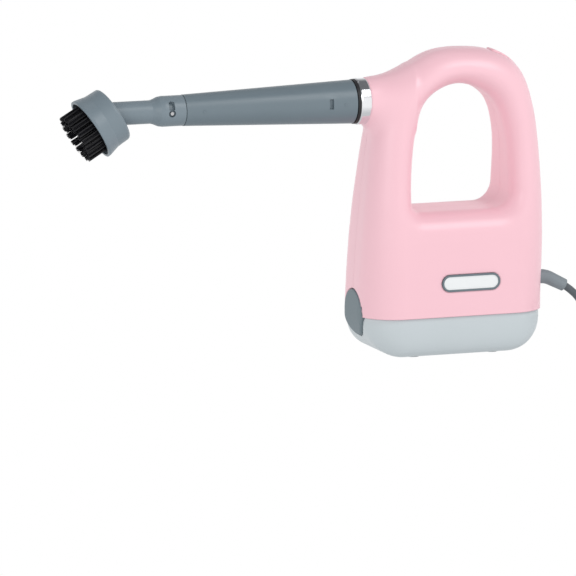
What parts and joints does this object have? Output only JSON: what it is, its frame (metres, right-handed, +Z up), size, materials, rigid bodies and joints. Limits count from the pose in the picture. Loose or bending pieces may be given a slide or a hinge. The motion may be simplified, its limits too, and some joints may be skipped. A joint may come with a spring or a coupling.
{
  "type": "garment steamer",
  "caption": "Handheld steamer with water tank body, hand opening, straight wand and angled round bristle head, standing on its base.",
  "frame": {"origin": "on the floor under the middle of the body, where the base stands", "axes": "+Z up; the nozzle and wand point to -X, the cord leaves at +X, the halves meet on Y = 0"},
  "size_m": [0.626, 0.1396, 0.2616],
  "materials": {
    "pink_shell": "satin",
    "base_plastic": "satin",
    "wand_plastic": "satin",
    "brush_plastic": "satin",
    "cap_rubber": "matte",
    "seal_rubber": "matte",
    "foot_rubber": "matte",
    "chrome": "polished",
    "badge_silver": "satin",
    "bezel_metal": "satin",
    "bristle_black": "matte",
    "tank_plastic": "clear",
    "inner_plastic": "matte",
    "aluminium": "cast",
    "steel": "plain",
    "hose_silicone": "matte",
    "board_green": "satin",
    "cord_grey": "satin",
    "relief_grey": "matte",
    "brass": "plated"
  },
  "bodies": {
    "housing": {"body_shell_left": "pink_shell", "body_shell_right": "pink_shell", "case_screws": "steel", "base_shell": "base_plastic", "rubber_feet": "foot_rubber", "water_tank": "tank_plastic", "filler_neck": "inner_plastic", "pump": "inner_plastic", "pump_bracket": "inner_plastic", "suction_hose": "hose_silicone", "boiler": "aluminium", "heating_element": "steel", "delivery_hose": "hose_silicone", "thermostat": "steel", "thermal_fuse": "steel", "steam_pipe": "hose_silicone", "nozzle_spigot": "inner_plastic", "spigot_o_rings": "seal_rubber", "chrome_collar": "chrome", "seal_ring": "seal_rubber", "button_pin": "steel", "microswitch": "inner_plastic", "switch_bracket": "inner_plastic", "button_wiring": "hose_silicone", "control_board": "board_green", "badge_bezel": "bezel_metal", "badge_plate": "badge_silver", "strain_relief": "relief_grey", "cord_clamp": "inner_plastic", "inner_cord": "cord_grey", "power_cord": "cord_grey", "cord_coil": "cord_grey", "cord_tie": "seal_rubber", "cord_tail": "cord_grey", "mains_plug": "cord_grey", "plug_blades": "brass"},
    "wand": {"wand_tube": "wand_plastic", "lock_peg": "steel", "tip_o_ring": "seal_rubber"},
    "brush_head": {"brush_adapter": "brush_plastic", "steam_insert": "inner_plastic", "brush_ring": "bristle_black", "bristle_tufts": "bristle_black"},
    "filler_cap": {"filler_cap": "cap_rubber", "cap_gasket": "seal_rubber"},
    "steam_button": {"steam_button": "pink_shell"},
    "switch_plunger": {"switch_plunger": "inner_plastic"}
  },
  "joints": [
    {"name": "button_press", "type": "hinge", "parent": "housing", "child": "steam_button", "pos_m": [0.06034, 0, 0.24179], "axis": [0, -1, 0], "range_deg": [0, 4.5], "stiffness_Nm_per_rad": 1.2, "springref_deg": -1.72},
    {"name": "plunger_slide", "type": "slide", "parent": "housing", "child": "switch_plunger", "axis": [-0.515, 0, -0.8572], "range_m": [0, 0.0016]},
    {"name": "wand_twist", "type": "hinge", "parent": "housing", "child": "wand", "pos_m": [-0.085, 0, 0.219], "axis": [-1, 0, 0], "range_deg": [0, 40]},
    {"name": "brush_twist", "type": "hinge", "parent": "wand", "child": "brush_head", "pos_m": [-0.237, 0, 0.219], "axis": [1, 0, 0], "range_deg": [0, 40]},
    {"name": "cap_pull", "type": "slide", "parent": "housing", "child": "filler_cap", "axis": [-1, 0, 0], "range_m": [0, 0.03]}
  ],
  "couplings": [
    {"joint": "plunger_slide", "follows": "button_press", "m_per_rad": 0.019}
  ]
}
